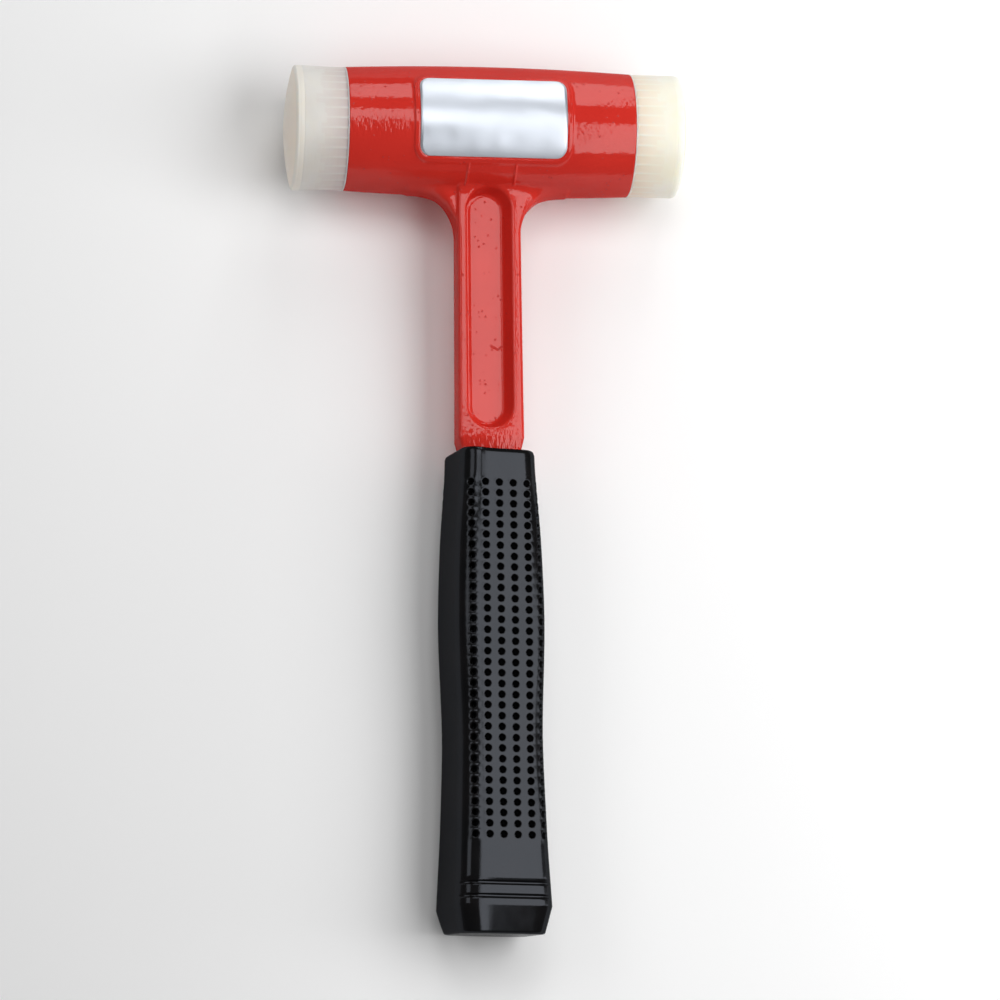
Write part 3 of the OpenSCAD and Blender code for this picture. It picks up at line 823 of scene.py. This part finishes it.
steel_balls = new_piece("steel_balls", (centres[:, None] + ball_points).reshape(-1, 3),
                        (ball_quads + offset).reshape(-1, 4), (ball_tris + offset).reshape(-1, 3),
                        "shot_body", "steel_shot", "shot_steel")
print(len(centres), "balls in the bed")

# %% [markdown]
# ## Finishes
# Each finish starts from one shader with its plain values, and noise on Object coordinates adds what the
# real surface shows. Object coordinates are metres here, so a noise of scale 500 has bumps about 2 mm apart.

# %% Node helpers


def finish(name, colour, roughness, **values):
    """Material with one shader, its plain colour and its plain values."""
    material = bpy.data.materials.new(name)
    material.use_nodes = True
    shader = material.node_tree.nodes["Principled BSDF"]
    shader.inputs["Base Color"].default_value = (*colour, 1)
    shader.inputs["Roughness"].default_value = roughness
    for socket, value in values.items():
        shader.inputs[socket.replace("_", " ")].default_value = value
    return material, material.node_tree, shader


def node(tree, kind, inputs=None, **settings):
    """Adds a node, sets its properties, and links or sets its inputs."""
    made = tree.nodes.new(kind)
    for key, value in settings.items():
        setattr(made, key, value)
    for key, value in (inputs or {}).items():
        if isinstance(value, bpy.types.NodeSocket):
            tree.links.new(value, made.inputs[key])
        else:
            made.inputs[key].default_value = value
    return made


def coat(piece, material):
    """Gives a piece this finish alone."""
    piece.data.materials.clear()
    piece.data.materials.append(material)
    print(f"{piece.name}: {material.name}, {len(material.node_tree.nodes)} nodes")


def wire(tree, shader, **outputs):
    """Links values to the shader's sockets by name."""
    for socket, output in outputs.items():
        tree.links.new(output, shader.inputs[socket.replace("_", " ")])


def sums(tree, operation, *values):
    """One step of arithmetic on values or sockets."""
    return node(tree, "ShaderNodeMath", dict(enumerate(values)), operation=operation).outputs[0]


def read(tree, name):
    """A number stored for each vertex."""
    return node(tree, "ShaderNodeAttribute", attribute_name=name).outputs["Fac"]


def object_at(tree):
    """Object coordinates, in metres."""
    return node(tree, "ShaderNodeTexCoord").outputs["Object"]


def ramp(tree, value, low, high, to_low=0.0, to_high=1.0):
    """Straight ramp from one range of values to another, held at both ends."""
    return node(tree, "ShaderNodeMapRange", {"Value": value, "From Min": low, "From Max": high,
                                             "To Min": to_low, "To Max": to_high}).outputs["Result"]


# %% Noise, blends and bumps


def noise(tree, scale, detail=2.0, roughness=0.5, stretch=None):
    """Noise on Object coordinates, optionally stretched along an axis."""
    at = object_at(tree)
    if stretch:
        at = node(tree, "ShaderNodeMapping", {"Vector": at, "Scale": stretch}).outputs["Vector"]
    return node(tree, "ShaderNodeTexNoise",
                {"Vector": at, "Scale": scale, "Detail": detail, "Roughness": roughness}).outputs["Fac"]


def mottle(tree, scale, detail, low, high, stretch=None):
    """A value that wanders between two limits over the surface."""
    return ramp(tree, noise(tree, scale, detail, 0.5, stretch), 0.3, 0.7, low, high)


def blend_colour(tree, amount, a, b):
    """Mix of two colours (tuples or sockets) by an amount."""
    a, b = ((*colour, 1) if isinstance(colour, tuple) else colour for colour in (a, b))
    return node(tree, "ShaderNodeMix", {0: amount, 6: a, 7: b}, data_type="RGBA").outputs[2]


def bump(tree, height, distance, strength=1.0, below=None):
    """Bump of a height over a distance in metres, on top of another bump."""
    inputs = {"Height": height, "Distance": distance, "Strength": strength}
    if below:
        inputs["Normal"] = below
    return node(tree, "ShaderNodeBump", inputs).outputs["Normal"]


# %% [markdown]
# ## Red paint
# The paint is thick and glossy, with orange peel, a few pits and one nick in the recess. A shader's IOR also
# sets the shine at grazing angles, and over a white floor that shine veils every edge with pale haze. So the
# IOR is low here and a large Specular Tint brings the head-on reflection back to about 3 %. The paint reads
# where it pooled, where its peel is flat, and where it ran, where short streaks stand up.

# %% Marks in a finish
nick_corners, nick_w = ((0.6, -79.0), (3.1, -80.4), (4.6, -79.2)), 0.45 * MM


def scratch(tree, start, end, width):
    """1 along a straight mark between two points, 0 beyond its width. The distance from the mark is what is
    left of the way from its start when the share along the mark is taken off."""
    kind, along = "ShaderNodeVectorMath", end - start
    off = node(tree, kind, {0: object_at(tree), 1: start}, operation="SUBTRACT").outputs["Vector"]
    share = node(tree, kind, {0: off, 1: along / (along @ along)}, operation="DOT_PRODUCT").outputs["Value"]
    foot = node(tree, kind, {0: along, "Scale": ramp(tree, share, 0, 1)}, operation="SCALE").outputs["Vector"]
    gap = node(tree, kind, {0: off, 1: foot}, operation="DISTANCE").outputs["Value"]
    return ramp(tree, gap, 0.4 * width, width, 1, 0)


nick = laid([(*corner, web_depth) for corner in nick_corners])
print("nick in the recess, mm:", (np.linalg.norm(np.diff(nick, axis=0), axis=1) / MM).round(1))

# %% Paint
low_ior, paint_tint = 1.02, (294.0, 294.0, 294.0, 1)
paint, tree, shader = finish("red_gloss_paint", (0.60, 0.027, 0.018), 0.08,
                             IOR=low_ior, Specular_Tint=paint_tint)
patches = ramp(tree, noise(tree, 45, 2), 0.3, 0.7)
colour = blend_colour(tree, patches, (0.57, 0.025, 0.017), (0.62, 0.030, 0.020))
speck = node(tree, "ShaderNodeTexVoronoi", {"Vector": object_at(tree), "Scale": 420.0}).outputs["Distance"]
rare = ramp(tree, noise(tree, 160, 0), 0.475, 0.555)
# Mask of the pits and the nick: it bumps them and dulls their gloss, and also darkens their colour as painted
# shade.
pits_and_shade = sums(tree, "MULTIPLY", ramp(tree, speck, 0.1, 0.2, 1, 0), rare)
for start, end in zip(nick, nick[1:]):
    pits_and_shade = sums(tree, "MAXIMUM", pits_and_shade, scratch(tree, start, end, nick_w))
level, ran = read(tree, "pooled"), read(tree, "runs")
gloss = sums(tree, "MULTIPLY", mottle(tree, 300, 2, 0.06, 0.1), ramp(tree, level, 0, 1, 1.0, 0.4))
peel = bump(tree, noise(tree, 700, 1), 0.000055, ramp(tree, level, 0, 1, 1.0, 0.01))
streaks = bump(tree, noise(tree, 1000, 1, 0.5, (1.0, 0.3, 0.3)), 0.0004, ran, peel)
# The pits and the nick are painted a darker red, painted shade in these small hollows, besides their bump and
# duller gloss.
wire(tree, shader, Base_Color=blend_colour(tree, pits_and_shade, colour, (0.46, 0.014, 0.009)),
     Roughness=sums(tree, "MULTIPLY_ADD", pits_and_shade, 0.5, gloss), Normal=bump(tree, pits_and_shade, 0.00006, 1.0, streaks))
coat(casting, paint)

# %% [markdown]
# ## Nylon
# Nylon is milky: light goes in, spreads for a few millimetres and comes out again, which is what subsurface
# scattering does. The colour clouds a little and differs on the struck disc. Near the seam it takes a painted
# red light, the barrel's red shining through the nylon, strongest between the ribs, and the rim round the
# disc has a painted highlight. Fine turning marks run round the side.

# %% Nylon


def nylon(name, colour, deep, seam, struck, rim):
    """Milky plastic that light soaks into, its own colour on the disc, painted red light at the seam, a
    painted rim highlight.
    """
    material, tree, shader = finish(name, colour, 0.42, Subsurface_Weight=0.7, Subsurface_Scale=0.006,
                                    Subsurface_Radius=(1.0, 0.85, 0.65))
    cloud = blend_colour(tree, ramp(tree, noise(tree, 60, 3), 0.35, 0.7), colour, deep)
    # Painted red light from the barrel near the seam.
    cloud_and_painted_light = blend_colour(tree, read(tree, "seam_red_light"), cloud, seam)
    # Painted highlight on the rim: a lighter colour than the side.
    cloud_and_painted_light = blend_colour(tree, ramp(tree, read(tree, "rim_highlight"), 0, 1, 0, 0.9), cloud_and_painted_light, rim)
    turned = bump(tree, noise(tree, 900, 2, 0.6, (1.0, 0.15, 0.15)), 0.00003)
    wire(tree, shader, Base_Color=blend_colour(tree, read(tree, "struck"), cloud_and_painted_light, struck),
         Roughness=mottle(tree, 400, 2, 0.38, 0.5), Normal=turned)
    return material


coat(left_face, nylon(
    "milky_face_nylon", (0.74, 0.725, 0.685), deep=(0.68, 0.655, 0.61), seam=(0.60, 0.48, 0.46),
    struck=(0.87, 0.78, 0.68), rim=(0.79, 0.75, 0.68)))
coat(right_face, nylon(
    "cream_face_nylon", (0.90, 0.885, 0.79), deep=(0.88, 0.85, 0.70), seam=(0.86, 0.68, 0.52),
    struck=(0.86, 0.79, 0.64), rim=(0.93, 0.91, 0.80)))

# %% [markdown]
# ## Vinyl
# Dipped vinyl is a deep black with a soft, slightly blue sheen. It has the paint's low IOR for the same
# reason, and a finer and weaker grain.

# %% Vinyl
vinyl_tint = (196.0, 210.0, 239.0, 1)
vinyl, tree, shader = finish("grip_vinyl", (0.004, 0.004, 0.004), 0.17, IOR=low_ior, Specular_Tint=vinyl_tint)
cloud = ramp(tree, noise(tree, 80, 3), 0.35, 0.7)
wire(tree, shader, Base_Color=blend_colour(tree, cloud, (0.003, 0.003, 0.003), (0.006, 0.005, 0.005)),
     Roughness=mottle(tree, 220, 3, 0.12, 0.17), Normal=bump(tree, noise(tree, 2600, 2), 0.000012))
coat(grip, vinyl)

# %% [markdown]
# ## Foil
# The label is brushed along its length, so its fine grain is noise stretched in X. A much wider and softer
# bump gives the slight creases that bend the reflections on thin foil.

# %% Foil
foil, tree, shader = finish("label_foil", (0.64, 0.68, 0.745), 0.4, Metallic=0.8)
brushed = bump(tree, noise(tree, 1800, 2, 0.5, (0.05, 1, 1)), 0.00001)
wire(tree, shader, Roughness=mottle(tree, 90, 2, 0.33, 0.45, (0.4, 1, 1)),
     Normal=bump(tree, noise(tree, 70, 1), 0.0008, 0.5, brushed))
coat(label, foil)

# %% [markdown]
# ## Rubber and steel inside the head
# The lock rings show when a face is screwed out, and the canister is shut in. Their CAD shapes are right, so
# they only get better finishes: dull rubber, tube steel drawn along its length, and polished balls.

# %% Rubber and steel


def plain_finish(name, colour, metallic, mottled, grain):
    """Finish with a wandering roughness (scale, low, high, stretch) and a grain (scale, metres, stretch)."""
    scale, low, high, along = mottled
    grain_scale, grain_h, grain_along = grain
    material, tree, shader = finish(name, colour, low, Metallic=metallic)
    wire(tree, shader, Roughness=mottle(tree, scale, 3, low, high, along),
         Normal=bump(tree, noise(tree, grain_scale, 2, 0.5, grain_along), grain_h))
    return material


rubber = plain_finish("lock_ring_rubber", (0.022, 0.021, 0.021), 0.0, (700, 0.5, 0.72, None),
                      (1800, 0.00004, None))
steel = plain_finish("drawn_tube_steel", (0.56, 0.57, 0.58), 1.0, (500, 0.26, 0.44, (0.06, 1, 1)),
                     (900, 0.00002, (0.05, 1, 1)))
balls = plain_finish("ball_steel", (0.5, 0.5, 0.51), 1.0, (350, 0.12, 0.32, None), (600, 0.00003, None))
coat(steel_balls, balls)
for name, material in (("left_lock_ring", rubber), ("right_lock_ring", rubber), ("shot_canister", steel),
                       ("left_canister_cap", steel), ("right_canister_cap", steel)):
    coat(frame["nodes"][name], material)

# %% [markdown]
# ## Floor and light
# The floor is a wide, matte, nearly white plane, which keeps a soft shadow. The sky is dim, so that the paint
# stays a deep red between the reflections of the lamps. The lamps are soft boxes, and their shapes show in
# the gloss: the boxes above and behind the head make the bands on the barrel, and those on the right make
# the sheen on the grip. The left box, at half the glow, fills the shadows.

# %% Floor
floor_half, floor_white = 6.0, 0.95
corners = np.array(((-1, -1, 0), (1, -1, 0), (1, 1, 0), (-1, 1, 0))) * floor_half
floor_mesh = bpy.data.meshes.new("floor")
floor_mesh.from_pydata(corners.tolist(), [], [(0, 1, 2, 3)])
floor = bpy.data.objects.new("floor", floor_mesh)
scene.collection.objects.link(floor)
floor_paint = bpy.data.materials.new("floor_white")
floor_paint.use_nodes = True
tree = floor_paint.node_tree
tree.nodes.clear()
matte = node(tree, "ShaderNodeBsdfDiffuse", {"Color": (floor_white, floor_white, floor_white, 1)}).outputs[0]
node(tree, "ShaderNodeOutputMaterial", {"Surface": matte})
floor_mesh.materials.append(floor_paint)
print(f"floor {2 * floor_half:.0f} m wide")

# %% Sky
horizon, overhead, overhead_from = 0.2, 0.11, 0.3
scene.world = bpy.data.worlds.new("studio")
scene.world.use_nodes = True
tree = scene.world.node_tree
direction = node(tree, "ShaderNodeTexCoord").outputs["Generated"]
height = node(tree, "ShaderNodeSeparateXYZ", {0: direction}).outputs["Z"]
wire(tree, tree.nodes["Background"], Strength=ramp(tree, height, 0.0, overhead_from, horizon, overhead))
tree.nodes["Background"].inputs["Color"].default_value = (1, 1, 1, 1)
print(f"sky {horizon} at the horizon, {overhead} overhead")

# %% Soft boxes
box_glow, box_z = 3.65, 700


def soft_box(name, middle, aim, width, height, glow):
    """Rectangular lamp of a given radiance, placed and aimed in hammer millimetres, wide along the head."""
    out = unit(np.array(middle, float) - np.array(aim, float))
    across = unit(np.array((1.0, 0, 0)) - out * out[0])
    data = bpy.data.lights.new(name, "AREA")
    data.shape = "RECTANGLE"
    data.size, data.size_y = width * MM, height * MM
    data.energy = glow * np.pi * data.size * data.size_y
    lamp = bpy.data.objects.new(name, data)
    lamp.visible_camera = False
    scene.collection.objects.link(lamp)
    put_at(lamp, middle, [across, np.cross(out, across), out])
    print(f"{name}: {data.energy:.2f} W")


def box_above(name, x, y):
    """Soft box that faces down on the hammer and covers a range of X and of Y."""
    middle = (sum(x) / 2, sum(y) / 2)
    soft_box(name, (*middle, box_z), (*middle, 0), x[1] - x[0], y[1] - y[0], box_glow)


box_above("front_box", (-220, 104), (24, 300))
box_above("right_box", (170, 1300), (-450, 67))
box_above("low_box", (170, 400), (-760, -450))
box_above("high_box", (332, 700), (67, 290))
soft_box("left_box", (-640, 160, 610), (-28, 0, 0), 330, 640, 0.5 * box_glow)
soft_box("side_box", (1420, -260, 330), (0, -260, 0), 640, 420, 0.8 * box_glow)

# %% Soft boxes behind the head
far_box = 900


def behind_head(name, x, width, low, high):
    """Soft box that covers a range of angles, from the front towards the top of the head."""
    middle, half = np.radians((low + high) / 2), np.radians((high - low) / 2)
    y, z = far_box * np.sin(middle), far_box * np.cos(middle)
    soft_box(name, (x, y, z), (x, 0, 0), width, 2 * far_box * np.tan(half), box_glow)


behind_head("top_left_box", 15, 150, 45.5, 75.5)
behind_head("top_right_box", 220, 140, 40, 91)
